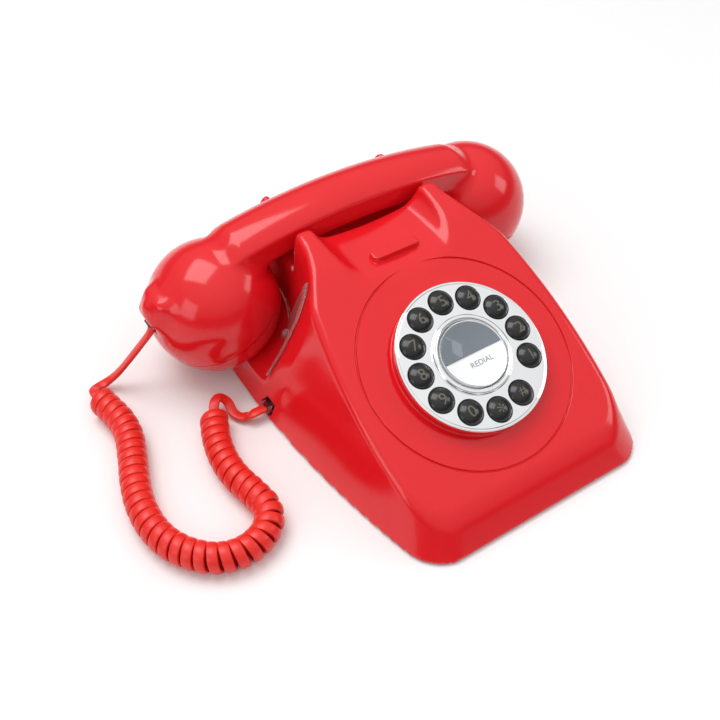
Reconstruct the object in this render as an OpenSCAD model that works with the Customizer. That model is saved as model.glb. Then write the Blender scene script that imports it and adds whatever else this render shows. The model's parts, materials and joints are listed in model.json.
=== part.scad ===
// Desk telephone with a ring of push buttons, a lift-off handset and a coiled cord.
// Millimetres. +X runs along the handset, +Y to the rear, +Z up.
// The origin is on the floor, under the middle of the telephone without its cord.

/* [Case] */
// Width of the case's lower edge at the front
case_front_w = 134; // [124:1:146]
// Depth of the case's lower edge, front to back
case_depth = 212; // [205:1:224]
// How far each side bows out past the front width
side_bow = 16.2; // [12:0.2:20]
// Wall of the case
case_wall = 2.5; // [2:0.1:3.2]
// Radius of the case's front corners, seen from above
front_corner_r = 16; // [12:1:22]
// Radius of the case's rear corners, seen from above
rear_corner_r = 20; // [14:1:26]
// Radius of the case's upper edges
edge_r = 7; // [5:0.5:9]
// Greatest half width of the dial face
face_half_w = 66.5; // [64:0.5:70]
// How much the dial face narrows on each side at its top corners
face_taper = 7; // [5:0.5:9]
// Height of the dial face's plane above the case's lower front edge
lip_h = 16; // [14:0.5:18]
// Tilt of the dial face from level
face_tilt = 25.5; // [24:0.5:27]

/* [Cradle] */
// Half width of the block between the two cups
block_half_w = 44; // [42:0.5:45]
// Height of the four cradle prongs at the rear
prong_h = 76; // [72:0.5:80]
// Height of the floor that the handle lies over
trough_h = 57; // [54:0.5:60]
// Height of the hand hollow's floor at the middle
hollow_h = 68.5; // [66:0.5:72]
// Half width of the hand hollow between the front prongs
hollow_half_w = 34; // [30:1:37]
// Radius of the round cut beside the block that each cup lies in
scoop_r = 52; // [50:0.5:54]
// Length of the bar in the hand hollow
bar_len = 27; // [20:1:36]
// Clearance between a cap's face and the shelf under it
shelf_gap = 2.5; // [2:0.5:4]
// Wall of each clear plunger
plunger_wall = 1.6; // [1.2:0.1:2]
// Travel of the plungers along the scoop
plunger_travel = 4; // [3:0.5:5]

/* [Handset] */
// Distance between the centres of the two cups
cup_pitch = 164; // [160:1:168]
// Outer radius of each cup
cup_r = 35; // [33:0.5:35]
// Height of the cups' centres above the floor
cup_z = 38; // [36:0.5:42]
// Tilt of each cup's face towards the block
cup_tilt = 26; // [22:1:30]
// Distance from a cup's centre to its flat face
cup_face = 20; // [17:0.5:22]
// Height of the top of the handle
handle_top = 86; // [83:0.5:92]
// Thickness of the handle, underside to top
handle_h = 18.5; // [17:0.5:20]
// Height of the handle's crown above its side creases
handle_crown = 6; // [5:0.5:7]
// Width of the handle, front to back
handle_w = 30; // [26:0.5:32]
// Radius of the handle's arch
handle_arch_r = 340; // [310:5:380]
// Wall of the handset
handset_wall = 2.5; // [2:0.1:3]

/* [Dial] */
// Radius of the circle that the buttons lie on
key_ring_r = 29.7; // [29:0.1:31]
// Radius of a button
key_r = 6.4; // [5.8:0.1:6.5]
// How far a button stands above the plate
key_proud = 2.6; // [2:0.1:3.4]
// Travel of a button
key_travel = 1.5; // [1:0.1:1.6]
// Radius of the chrome plate
plate_r = 38.7; // [38:0.1:42]
// Thickness of the chrome plate
plate_t = 2.5; // [2:0.1:3]
// Height of the round boss that carries the plate
boss_h = 5.2; // [4.8:0.1:6]
// Radius of the redial button
redial_r = 17.4; // [15:0.1:17.5]
// Width of the chrome ring round the redial button
ring_w = 3; // [2.5:0.1:3.2]
// Radius of the groove round the dial
groove_r = 55.6; // [52:0.1:57]
// Gap between a moving button and what it moves in
key_gap = 0.35; // [0.3:0.05:0.4]

/* [Cord] */
// Outer diameter of the coiled part
coil_d = 14.6; // [12:0.2:15]
// Width of the flat cord
flat_w = 5.2; // [4.6:0.1:5.6]
// Thickness of the flat cord
flat_t = 2.4; // [2:0.1:2.8]

/* [Base] */
// Gap between the floor and the case's lower edge
foot_h = 1.2; // [1:0.1:2]
// Thickness of the base plate
base_t = 2; // [1.6:0.1:2.6]
// Radius of the base screws' shanks
screw_r = 1.5; // [1.3:0.1:1.7]
// Radial clearance round a screw in the base plate
screw_gap = 0.3; // [0.25:0.05:0.5]

/* [Hidden] */

front_y = -case_depth / 2;
rear_y = case_depth / 2;
case_z = foot_h;
slope = tan(face_tilt);
side_y = 30;
lip_y = front_y + 8.6;
lip_z = case_z + lip_h;
elbow_y = front_y + 116;
face_mid_y = front_y + 55;
horn_y = front_y + 146;
prong_y = rear_y - 16;
dial_y = front_y + 66.9;
dial_z = face_z(dial_y);
cup_x = cup_pitch / 2;
cup_y = rear_y - 37;
handle_y = cup_y + 1;
trough_y0 = handle_y - handle_w / 2 - 3;
trough_y1 = handle_y + handle_w / 2 + 3;
seam_h = -3;
cap_gap = 0.1;
hollow_dish_r = 170;
scoop_x = block_half_w + scoop_r - 1;
scoop_z = 75;
scoop_y = front_y + 158;
plunger_gap = 0.4;
plate_top = boss_h + plate_t;
boss_r = plate_r - 0.8;
key_reach_r = key_ring_r + key_r;
well_r = key_reach_r + 0.5;
frame_r = key_reach_r - 0.8;
frame_gap = 0.3;
frame_wall = 1.8;
pan_r = frame_r - 1.2;
ring_in_r = redial_r + key_gap;
ring_out_r = ring_in_r + ring_w;
flange_t = 1.6;
flange_lip = 0.75;
board_t = 1.6;
mat_t = 1.4;
flange_z = mat_t + key_travel + 0.3;
key_start = -25.8;
key_step = 29.05;
plate_inset = case_wall + 1;
boss_x = 56;
boss_front_y = front_y + 24;
boss_rear_y = rear_y - 22;
post_r = 4.5;
big = 400;
coil_r = coil_d / 2;
jack_x = -75.6;
jack_y = 17;
jack_z = 6.6;
base_top = case_z + base_t;
board_w = 90;
board_d = 50;
board_y = 28;
board_z = base_top + 6;
board_screw_r = 1.25;
screw_bite = 0.2;
line_jack_x = 0;
ringer_x = 34;
rocker_r = 2.5;
rocker_y = 62;
rocker_z = board_z + 9;
lug_x = 50;
arm_len = 19;
peg_r = 2;
peg_turn = 40;
liner_start = 30;
liner_turn = 53;
peg_len = plunger_travel + 4.2;
liner_r = scoop_r - plunger_gap - plunger_wall / 2;
peg_ring_r = liner_r + plunger_wall / 2 - peg_r;
peg_x = scoop_x - peg_ring_r * cos(peg_turn);
peg_drop = (shelf_z(peg_x) - scoop_z + peg_ring_r * sin(peg_turn) * sin(face_tilt)) / cos(face_tilt);
arm_t = 2.5;
redial_top = plate_top + 1.6;
key_dome = 1.8;
handle_sweep = 14;

// The cord's route where it isn't coiled, and the coil's centre line
tail_handset_pts = [[-116.5, 69, 40.8], [-119.1, 69, 36.3], [-124.5, 71, 28.5], [-131, 73.5, 19.5],
                    [-137.5, 76.3, 10.8], [-143.5, 78.6, 5.2], [-148.6, 78.2, 4.6], [-151.8, 75.8, 6.2],
                    [-152.65, 72.5, 7.6], [-152.23, 69.7, 7.6]];
coil_pts = [[-152.2, 69.5, 7.6], [-151, 61.5, 7.6], [-148.8, 48, 7.6], [-149.6, 36, 7.6],
            [-154, 22, 7.6], [-159, 8, 7.6], [-162.2, -6, 7.6], [-162.6, -19, 7.6],
            [-160, -31, 7.6], [-154, -41.5, 7.6], [-145.5, -49.5, 7.6], [-135, -53, 7.6],
            [-124.5, -51.5, 7.6], [-116.5, -46, 7.6], [-113, -37.5, 7.6], [-114.2, -27, 7.6],
            [-116.5, -15, 7.6], [-116.5, -2, 7.6], [-113.8, 11, 7.6], [-109.5, 22, 7.6],
            [-107, 27, 7.6]];
tail_base_pts = [[-107, 27, 7.6], [-104.4, 31.5, 9.4], [-100.4, 33.6, 9.4], [-97.2, 31, 6.4],
    [-97.2, 26, 3.6], [-95.4, 21.6, 2.9], [-92.4, 19, 4], [-90, 17, 6.4], [-83.2, 17, 6.4]];

function face_z(y) = lip_z + (y - lip_y) * slope;
function base_half(y) = case_front_w / 2
    + side_bow * (1 - pow((y - side_y) / (case_depth / 2 + side_y), 2));
function face_half(y) = face_half_w - face_taper * pow((y - face_mid_y) / (elbow_y - face_mid_y), 2);
function shelf_z(x) = cup_z
    - (cup_face + shelf_gap + (x - cup_x) * sin(cup_tilt)) / cos(cup_tilt);
function unit(v) = v / norm(v);
function dir(p, i) = unit(p[min(i + 1, len(p) - 1)] - p[max(i - 1, 0)]);
function key_angle(i) = key_start + key_step * i;

// Puts its children on the dial face: the local Z axis is the face's normal.
module on_face(h = 0) {
    translate([0, dial_y, dial_z]) rotate([face_tilt, 0, 0]) translate([0, 0, h]) children();
}

// Puts its children at a cup's centre, with the local -Z axis through the cup's face.
module at_cup(s) {
    translate([s * cup_x, cup_y, cup_z]) rotate([0, s * cup_tilt, 0]) children();
}

module tube(r_out, r_in, h) {
    difference() {
        cylinder(r = r_out, h = h, $fn = 96);
        translate([0, 0, -1]) cylinder(r = r_in, h = h + 2, $fn = 96);
    }
}

// One closed sweep along a line of points; rx and rz are half the width and half the height.
module sweep(p, rx, rz, sides = 8) {
    n = len(p);
    up = [0, 0, 1];
    rings = [for (i = [0:n - 1])
        let (d = dir(p, i), a = unit(cross(d, up)), b = cross(a, d))
        for (k = [0:sides - 1]) p[i] + a * rx * cos(360 * k / sides) + b * rz * sin(360 * k / sides)];
    lower = [for (i = [0:n - 2]) for (k = [0:sides - 1])
        [i * sides + k, (i + 1) * sides + (k + 1) % sides, i * sides + (k + 1) % sides]];
    upper = [for (i = [0:n - 2]) for (k = [0:sides - 1])
        [i * sides + k, (i + 1) * sides + k, (i + 1) * sides + (k + 1) % sides]];
    ends = [[for (k = [0:sides - 1]) k], [for (k = [sides - 1:-1:0]) (n - 1) * sides + k]];
    polyhedron(points = rings, faces = concat(lower, upper, ends), convexity = 10);
}

// The case before anything is cut from it, shrunk by an inset.
module case_block(inset) {
    drop = inset > 0 ? 4 : 0;
    er = edge_r - inset;
    hull() {
        for (s = [-1, 1]) {
            for (y = [front_y + front_corner_r, -50, 0, 45])
                translate([s * (base_half(y) - front_corner_r), y, case_z - drop])
                    cylinder(r = front_corner_r - inset, h = 1 + drop, $fn = 32);
            translate([s * (base_half(rear_y) - rear_corner_r), rear_y - rear_corner_r, case_z - drop])
                cylinder(r = rear_corner_r - inset, h = 1 + drop, $fn = 32);
            for (y = [lip_y + 6, face_mid_y, elbow_y])
                translate([s * (face_half(y) - edge_r), y, face_z(y) - edge_r / cos(face_tilt)])
                    sphere(r = er, $fn = 24);
            translate([s * (block_half_w - edge_r), horn_y, face_z(horn_y) - edge_r / cos(face_tilt)])
                sphere(r = er, $fn = 24);
            translate([s * (block_half_w - edge_r), prong_y, prong_h - edge_r]) sphere(r = er, $fn = 24);
        }
    }
}

// The space that one cup lies in and lifts out of, grown by a wall's thickness.
module scoop(s, grow) {
    difference() {
        union() {
            translate([s * scoop_x, scoop_y, scoop_z]) rotate([face_tilt, 0, 0])
                cylinder(r = scoop_r + grow, h = big, center = true, $fn = 96);
            translate([s > 0 ? block_half_w - grow : -big / 2, scoop_y, 0])
                cube([big / 2 - block_half_w + grow, big / 2, big / 2]);
        }
        at_cup(s) translate([-big / 2, -big / 2, -cup_face - shelf_gap - grow - big])
            cube([big, big, big]);
    }
}

// The trough under the handle and the hand hollow in front of it.
module cradle_cut(grow) {
    translate([-big / 2, trough_y0 - grow, trough_h - grow])
        cube([big, trough_y1 - trough_y0 + 2 * grow, big]);
    intersection() {
        translate([0, 0, hollow_h - grow + hollow_dish_r]) rotate([-90, 0, 0])
            cylinder(r = hollow_dish_r, h = trough_y0 + 1, $fn = 128);
        translate([-hollow_half_w - grow, 0, hollow_h - 2 * grow])
            cube([2 * (hollow_half_w + grow), trough_y0 + 1, big]);
    }
    translate([-hollow_half_w - grow, trough_y1 - 1, trough_h + 7 - grow])
        cube([2 * (hollow_half_w + grow), big, big]);
}

module screw_posts(r, h) {
    for (s = [-1, 1], y = [boss_front_y, boss_rear_y])
        translate([s * boss_x, y, 0]) cylinder(r = r, h = h, $fn = 32);
}

// The slots and bores through the case's walls.
module case_openings() {
    on_face(-12) cylinder(r = frame_r + frame_gap, h = 30, $fn = 96);
    on_face(-0.8) tube(groove_r + 0.5, groove_r - 0.5, 3);
    screw_posts(screw_r - screw_bite, case_z + 9);
    translate([-case_front_w, jack_y - 5.2, case_z - 1]) cube([case_front_w - 60, 10.4, 9.6]);
    translate([line_jack_x - 8, rear_y - 10, case_z + 3]) cube([16, 20, 14]);
    translate([ringer_x - 8, rear_y - 10, case_z + 6]) cube([16, 20, 5]);
    for (s = [-1, 1]) at_peg(s) translate([0, 0, -12]) cylinder(r = peg_r + key_gap, h = 14, $fn = 32);
}

module case_shell() {
    color("crimson") union() {
        difference() {
            union() {
                difference() {
                    case_block(0);
                    difference() {
                        case_block(case_wall);
                        for (s = [-1, 1]) scoop(s, case_wall);
                        cradle_cut(case_wall);
                    }
                }
                intersection() {
                    translate([0, 0, base_top + 0.4]) screw_posts(post_r, big);
                    case_block(0.5);
                }
                on_face(-1) tube(boss_r, well_r, boss_h + 1);
            }
            for (s = [-1, 1]) scoop(s, 0);
            cradle_cut(0);
            case_openings();
        }
        translate([-bar_len / 2, front_y + 127, hollow_h - 1]) cube([bar_len, 6.5, 4.5]);
    }
}

module base_plate() {
    color("dimgray") difference() {
        union() {
            hull() for (s = [-1, 1]) {
                for (y = [front_y + front_corner_r, -50, 0, 45])
                    translate([s * (base_half(y) - front_corner_r), y, case_z])
                        cylinder(r = front_corner_r - plate_inset, h = base_t, $fn = 32);
                translate([s * (base_half(rear_y) - rear_corner_r), rear_y - rear_corner_r, case_z])
                    cylinder(r = rear_corner_r - plate_inset, h = base_t, $fn = 32);
            }
            board_holes(3, board_z - base_top, base_top);
            for (s = [-1, 1]) translate([s * lug_x - 2.5, rocker_y - 5, base_top - 0.1])
                cube([5, 10, rocker_z + 5 - base_top]);
        }
        screw_posts(screw_r + screw_gap, base_top + 1);
        board_holes(board_screw_r - 0.15, 20, base_top + 1);
        translate([-big / 2, rocker_y, rocker_z]) rotate([0, 90, 0])
            cylinder(r = rocker_r + 0.05, h = big, $fn = 48);
    }
}

module rubber_feet() {
    color("black") for (s = [-1, 1], y = [front_y + 42, rear_y - 42])
        translate([s * 46, y, 0]) cylinder(r = 6, h = foot_h, $fn = 48);
}

module base_screws() {
    color("silver") for (s = [-1, 1], y = [boss_front_y, boss_rear_y])
        translate([s * boss_x, y, 0]) {
            translate([0, 0, case_z - 1]) cylinder(r = screw_r + 1.4, h = 1, $fn = 32);
            translate([0, 0, case_z - 0.5]) cylinder(r = screw_r, h = 9, $fn = 32);
        }
}

module ballast_plate() {
    color("slategray") translate([-40, -48, base_top]) cube([80, 46, 5]);
}

// The main board's four corner holes, or their posts.
module board_holes(r, h, z) {
    for (s = [-1, 1], y = [board_y + 5, board_y + board_d - 5])
        translate([s * (board_w / 2 - 5), y, z]) cylinder(r = r, h = h, $fn = 32);
}

module main_board() {
    color("darkgreen") difference() {
        translate([-board_w / 2, board_y, board_z]) cube([board_w, board_d, board_t]);
        board_holes(board_screw_r + 0.3, 20, base_top);
    }
    color("black") translate([-20, board_y + 8, board_z + board_t - 0.01]) cube([14, 14, 2.4]);
}

module board_screws() {
    color("silver") {
        board_holes(board_screw_r + 1.3, 1.4, board_z + board_t);
        board_holes(board_screw_r, 6.5, board_z + board_t - 6);
    }
}

module ringer_sounder() {
    color("black") translate([0, -72, base_top]) difference() {
        cylinder(r = 17, h = 9, $fn = 64);
        translate([0, 0, 7]) cylinder(r = 3, h = 5, $fn = 32);
    }
}

module hook_switch() {
    color("dimgray") translate([-6, rocker_y + 4, board_z + board_t]) cube([12, 10, rocker_z - board_z - 6.5]);
}

// The rocker under the plungers' pegs that works the hook switch.
module hook_rocker() {
    color("ivory") {
        translate([-lug_x - 9, rocker_y, rocker_z]) rotate([0, 90, 0])
            cylinder(r = rocker_r, h = 2 * lug_x + 18, $fn = 48);
        for (s = [-1, 1]) translate([s * (lug_x + 6) - 3, rocker_y - arm_len, rocker_z - 4])
            cube([6, arm_len, arm_t]);
        translate([-3, rocker_y, rocker_z - 2]) cube([6, 10, 2]);
    }
}

module line_jack() {
    color("black") translate([line_jack_x - 7.6, rear_y - 22, base_top]) difference() {
        cube([15.2, 18, 13]);
        translate([2.6, 4, 2.5]) cube([10, 20, 7.5]);
    }
}

module handset_jack() {
    color("black") translate([jack_x, jack_y - 6.5, base_top]) difference() {
        cube([14, 13, 10.4]);
        translate([-1, 2.4, 0.2]) cube([11, 8.2, 6.8]);
    }
}

module ringer_switch() {
    color("black") {
        translate([ringer_x - 7, rear_y - 7, case_z + 6.6]) cube([7, 6.9, 3.8]);
        translate([ringer_x - 10, rear_y - 8.9, case_z + 4]) cube([13, 2, 9]);
    }
}

// Puts its children on the line along which a plunger's peg goes through the shelf.
module at_peg(s) {
    translate([s * scoop_x, scoop_y, scoop_z]) rotate([face_tilt, 0, 0])
        translate([-s * peg_ring_r * cos(peg_turn), -peg_ring_r * sin(peg_turn), peg_drop]) children();
}

// A clear liner that stands on end in the scoop: the cup presses it down.
module plunger(s) {
    color("white", 0.4) union() {
        difference() {
            intersection() {
                translate([s * scoop_x, scoop_y, scoop_z]) rotate([face_tilt, 0, 0])
                    rotate([0, 0, s > 0 ? 180 + liner_start : -liner_start - liner_turn])
                        rotate_extrude(angle = liner_turn, $fn = 96)
                        translate([liner_r - plunger_wall / 2, -big / 2]) square([plunger_wall, big]);
                case_block(0.9);
            }
            at_cup(s) translate([-big / 2, -big / 2, -cup_face - shelf_gap + 0.4 - big])
                cube([big, big, big]);
        }
        at_peg(s) translate([0, 0, -peg_len]) cylinder(r = peg_r, h = peg_len + 5, $fn = 32);
    }
}

module plunger_left() { plunger(-1); }
module plunger_right() { plunger(1); }

module dial_plate() {
    color("gainsboro") on_face(boss_h) difference() {
        union() {
            cylinder(r = plate_r, h = plate_t - 0.8, $fn = 96);
            translate([0, 0, plate_t - 0.8]) cylinder(r1 = plate_r, r2 = plate_r - 0.8, h = 0.8, $fn = 96);
        }
        for (i = [0:11]) at_key(i) translate([0, 0, -1])
            cylinder(r = key_r + key_gap, h = plate_t + 2, $fn = 48);
        translate([0, 0, -1]) cylinder(r = ring_in_r, h = 5, $fn = 96);
    }
}

module centre_ring() {
    color("silver") on_face(plate_top) difference() {
        union() {
            cylinder(r = ring_out_r, h = 1, $fn = 96);
            translate([0, 0, 1]) cylinder(r1 = ring_out_r, r2 = ring_in_r + 0.8, h = 1, $fn = 96);
        }
        translate([0, 0, -1]) cylinder(r = ring_in_r, h = 5, $fn = 96);
    }
}

// The pan that holds the keypad's board and mat, with a rim under the case's wall.
module keypad_frame() {
    floor_z = -board_t - frame_wall;
    color("black") on_face(floor_z) difference() {
        union() {
            cylinder(r = frame_r, h = mat_t - floor_z, $fn = 96);
            cylinder(r = frame_r + 3, h = -case_wall - 0.05 - floor_z, $fn = 96);
        }
        translate([0, 0, frame_wall]) cylinder(r = pan_r + 0.2, h = big, $fn = 96);
    }
}

module keypad_board() {
    color("darkgreen") on_face(-board_t) cylinder(r = pan_r, h = board_t, $fn = 96);
}

module key_mat() {
    color("gray") on_face(0) cylinder(r = pan_r, h = mat_t, $fn = 96);
}

module redial_button() {
    color("white") on_face(flange_z) {
        cylinder(r = redial_r + 1.2, h = flange_t, $fn = 96);
        cylinder(r = redial_r, h = redial_top - flange_z, $fn = 96);
    }
}

module redial_label() {
    color("slategray") on_face(redial_top) intersection() {
        cylinder(r = redial_r - 0.6, h = 0.3, $fn = 96);
        translate([-big / 2, 0, 0]) cube([big, big, 1]);
    }
}

module redial_lens() {
    color("white", 0.3) on_face(redial_top + 0.3) cylinder(r = redial_r, h = 0.9, $fn = 96);
}

// Puts its children on the axis of one of the ring's buttons.
module at_key(i) {
    rotate([0, 0, key_angle(i)]) translate([key_ring_r, 0, 0]) children();
}

// One round button with a domed top and a flange that keeps it under the plate.
module key(i) {
    top = plate_top + key_proud - flange_z;
    cap_sphere_r = (key_r * key_r + key_dome * key_dome) / (2 * key_dome);
    color("black") on_face(flange_z) {
        intersection() {
            cylinder(r = key_reach_r + 0.1, h = flange_t, $fn = 96);
            at_key(i) cylinder(r = key_r + flange_lip, h = flange_t, $fn = 48);
        }
        at_key(i) intersection() {
            cylinder(r = key_r, h = top, $fn = 48);
            translate([0, 0, top - cap_sphere_r]) sphere(r = cap_sphere_r, $fn = 96);
        }
    }
}

module key_1() { key(0); }
module key_2() { key(1); }
module key_3() { key(2); }
module key_4() { key(3); }
module key_5() { key(4); }
module key_6() { key(5); }
module key_7() { key(6); }
module key_8() { key(7); }
module key_9() { key(8); }
module key_0() { key(9); }
module key_star() { key(10); }
module key_hash() { key(11); }

// The arched handle, or its hollow when grown by a negative amount.
module handle(grow) {
    w = handle_w / 2 + grow;
    r0 = handle_arch_r - handle_h - grow;
    r2 = handle_arch_r + grow;
    crown_r = (w * w + handle_crown * handle_crown) / (2 * handle_crown);
    crown_a = asin(w / crown_r);
    loaf = concat([[r0, -w * 0.8], [r0, w * 0.8]],
        [for (k = [6:-1:-6]) [r2 - crown_r * (1 - cos(crown_a * k / 6)), crown_r * sin(crown_a * k / 6)]]);
    translate([0, handle_y, handle_top - handle_arch_r]) rotate([90, 0, 0])
        rotate([0, 0, 90 - handle_sweep]) rotate_extrude(angle = 2 * handle_sweep, $fn = 160)
            polygon(loaf);
}

// A cup's round body, cut flat at its face.
module cup_body(s, grow) {
    at_cup(s) intersection() {
        sphere(r = cup_r + grow, $fn = 96);
        translate([-big / 2, -big / 2, -cup_face - grow]) cube([big, big, big]);
    }
}

// The part of a cup on the face's side of its seam.
module cap_side(s, gap) {
    at_cup(s) intersection() {
        sphere(r = cup_r + 2, $fn = 96);
        translate([-big / 2, -big / 2, seam_h - gap - big]) cube([big, big, big]);
    }
}

module at_spout() {
    translate([-cup_x - 31.5, cup_y, cup_z + 8]) rotate([0, 30, 0]) children();
}

module handset_shell() {
    color("crimson") difference() {
        union() {
            handle(0);
            for (s = [-1, 1]) cup_body(s, 0);
            hull() {
                at_spout() translate([-6.5, -7.5, -1]) cube([13, 15, 1]);
                translate([-cup_x - 23, cup_y, cup_z + 12]) sphere(r = 9, $fn = 24);
                translate([-cup_x - 35.5, cup_y, cup_z + 15]) sphere(r = 2, $fn = 16);
            }
        }
        handle(-handset_wall);
        for (s = [-1, 1]) {
            cup_body(s, -handset_wall);
            cap_side(s, 0);
        }
        at_spout() translate([-5.5, -6, -8]) cube([11, 12, 20]);
        at_spout() translate([-2, -flat_w / 2 - 0.6, -12]) cube([4, flat_w + 1.2, 5]);
    }
}

module cap(s, hole_r, rings) {
    difference() {
        intersection() {
            cup_body(s, 0);
            cap_side(s, cap_gap);
        }
        cup_body(s, -handset_wall);
        at_cup(s) for (k = [1:rings], a = [0:60 / k:359])
            rotate([0, 0, a]) translate([k * 5, 0, -cup_face - 1])
                cylinder(r = hole_r, h = handset_wall + 2, $fn = 16);
    }
}

module mouth_cap() { color("crimson") cap(-1, 1.1, 2); }
module ear_cap() { color("crimson") cap(1, 1.1, 3); }

module microphone() {
    color("silver") at_cup(-1) translate([0, 0, handset_wall - cup_face]) cylinder(r = 13, h = 7, $fn = 64);
}

module receiver() {
    color("silver") at_cup(1) translate([0, 0, handset_wall - cup_face]) cylinder(r = 18, h = 9, $fn = 64);
}

module handset_weight() {
    color("slategray") translate([-30, handle_y - 7, handle_top - handle_h + 5]) cube([60, 14, 6]);
}

module handset_socket() {
    color("black") at_spout() translate([-5.3, -5.8, -0.8]) difference() {
        cube([10.6, 11.6, 9]);
        translate([1.2, 2.4, -1]) cube([8.2, 6.8, 8.6]);
    }
}

module handset_plug() {
    color("white", 0.5) at_spout() translate([-3.8, -3.2, -6]) cube([7.6, 6.4, 12]);
}

module base_plug() {
    color("white", 0.5) translate([-83.2, jack_y - 3.8, jack_z - 3.1]) cube([11.7, 7.6, 6.2]);
}

module cord_tail_handset() { color("red") sweep(tail_handset_pts, flat_w / 2, flat_t / 2); }
module cord_coil() { color("red") sweep(coil_pts, coil_r, coil_r, 12); }
module cord_tail_base() { color("red") sweep(tail_base_pts, flat_w / 2, flat_t / 2); }

case_shell();
base_plate();
rubber_feet();
base_screws();
ballast_plate();
main_board();
board_screws();
ringer_sounder();
hook_switch();
hook_rocker();
line_jack();
handset_jack();
ringer_switch();
plunger_left();
plunger_right();
dial_plate();
centre_ring();
keypad_frame();
keypad_board();
key_mat();
redial_button();
redial_label();
redial_lens();
key_1();
key_2();
key_3();
key_4();
key_5();
key_6();
key_7();
key_8();
key_9();
key_0();
key_star();
key_hash();
handset_shell();
mouth_cap();
ear_cap();
microphone();
receiver();
handset_weight();
handset_socket();
handset_plug();
base_plug();
cord_tail_handset();
cord_coil();
cord_tail_base();
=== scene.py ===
# %% [markdown]
# # A desk telephone, dressed
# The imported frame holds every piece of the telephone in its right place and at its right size. This lesson
# gives those pieces their looks: soft moulded shells, glossy plastic, chrome, glass-clear parts and a curly
# cord. Shapes are worked out in millimetres with numpy and turned into metres when a mesh is made.

# %% Load the frame
import json
import math

import bmesh
import bpy
import numpy as np
from mathutils import Matrix, Vector


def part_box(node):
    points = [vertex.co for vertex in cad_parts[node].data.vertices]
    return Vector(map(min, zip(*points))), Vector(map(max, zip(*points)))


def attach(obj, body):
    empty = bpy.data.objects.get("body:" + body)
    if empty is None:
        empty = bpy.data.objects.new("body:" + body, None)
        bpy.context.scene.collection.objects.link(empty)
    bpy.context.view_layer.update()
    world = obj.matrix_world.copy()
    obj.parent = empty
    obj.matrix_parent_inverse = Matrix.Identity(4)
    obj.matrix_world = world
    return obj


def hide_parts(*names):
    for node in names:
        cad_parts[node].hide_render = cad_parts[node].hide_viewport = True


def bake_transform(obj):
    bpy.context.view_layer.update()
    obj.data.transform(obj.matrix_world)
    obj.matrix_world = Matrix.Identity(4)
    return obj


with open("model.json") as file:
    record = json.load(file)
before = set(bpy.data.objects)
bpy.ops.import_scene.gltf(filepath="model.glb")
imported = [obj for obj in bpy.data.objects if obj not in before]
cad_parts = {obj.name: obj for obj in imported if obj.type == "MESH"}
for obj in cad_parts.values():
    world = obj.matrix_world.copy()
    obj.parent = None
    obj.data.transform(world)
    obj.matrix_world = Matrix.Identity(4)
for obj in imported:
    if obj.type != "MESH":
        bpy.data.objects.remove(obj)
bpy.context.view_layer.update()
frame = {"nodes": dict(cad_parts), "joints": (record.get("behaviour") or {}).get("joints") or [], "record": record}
MM = 0.001
nodes = frame["nodes"]


def box_mm(name):
    """A node's lowest and highest corners, in millimetres."""
    low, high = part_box(name)
    return np.array(low) / MM, np.array(high) / MM


# %% [markdown]
# ## The camera
# The telephone is seen from its front left, from well above. The camera is placed on a sphere round a
# target: the azimuth turns it about the vertical, the elevation lifts it and the distance sets how strong
# the perspective is. A slight roll is laid on last.

# %% Camera
AZIMUTH, ELEVATION, ROLL = math.radians(-34.25), math.radians(46.47), math.radians(1.28)
DISTANCE = 0.5798
TARGET = np.array([-0.0001, 0.0529, -0.0365])
SENSOR_W, FOCAL = 36.0, 48.2  # in millimetres, as on a real camera
NEAREST = 0.01
back = np.array([math.sin(AZIMUTH) * math.cos(ELEVATION),
                 -math.cos(AZIMUTH) * math.cos(ELEVATION), math.sin(ELEVATION)])
right = np.array([math.cos(AZIMUTH), math.sin(AZIMUTH), 0.0])
up = np.cross(back, right)
rolled_right = right * math.cos(ROLL) + up * math.sin(ROLL)
rolled_up = up * math.cos(ROLL) - right * math.sin(ROLL)
camera_data = bpy.data.cameras.new("camera")
camera_data.sensor_width = SENSOR_W
camera_data.lens = FOCAL
camera_data.clip_start = NEAREST
camera = bpy.data.objects.new("camera", camera_data)
bpy.context.scene.collection.objects.link(camera)
pose = np.eye(4)
pose[:3, 0], pose[:3, 1], pose[:3, 2] = rolled_right, rolled_up, back
pose[:3, 3] = TARGET + back * DISTANCE
camera.matrix_world = Matrix(pose)
bpy.context.scene.camera = camera
print("camera at", np.round(pose[:3, 3], 4))


# %% [markdown]
# ## From numpy to a mesh
# One helper writes every surface that follows. It takes the points in millimetres and one array of faces,
# and hands both over whole, which is far quicker than adding corners one by one. Creases sharper than a
# given angle stay crisp, and everything flatter is shaded smooth.

# %% Mesh helper
def put_mesh(name, points, *face_sets, crease=35.0):
    """Makes an object from points in mm (n by 3) and arrays of faces, each with one number of corners."""
    face_sets = [np.atleast_2d(np.asarray(f, np.int32)) for f in face_sets]
    corners = np.concatenate([f.ravel() for f in face_sets])
    sizes = np.concatenate([np.full(len(f), f.shape[1]) for f in face_sets])
    mesh = bpy.data.meshes.new(name)
    mesh.vertices.add(len(points))
    mesh.vertices.foreach_set("co", (np.asarray(points, float) * MM).ravel())
    mesh.loops.add(len(corners))
    mesh.loops.foreach_set("vertex_index", corners)
    mesh.polygons.add(len(sizes))
    mesh.polygons.foreach_set("loop_start", np.concatenate([[0], np.cumsum(sizes)[:-1]]))
    mesh.update(calc_edges=True)
    smooth(mesh, crease)
    piece = bpy.data.objects.new(name, mesh)
    bpy.context.scene.collection.objects.link(piece)
    return piece


def smooth(mesh, crease):
    """Shades a mesh smooth, apart from the edges that turn by more than the crease angle in degrees."""
    mesh.polygons.foreach_set("use_smooth", np.ones(len(mesh.polygons), bool))
    mesh.set_sharp_from_angle(angle=math.radians(crease))


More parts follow.
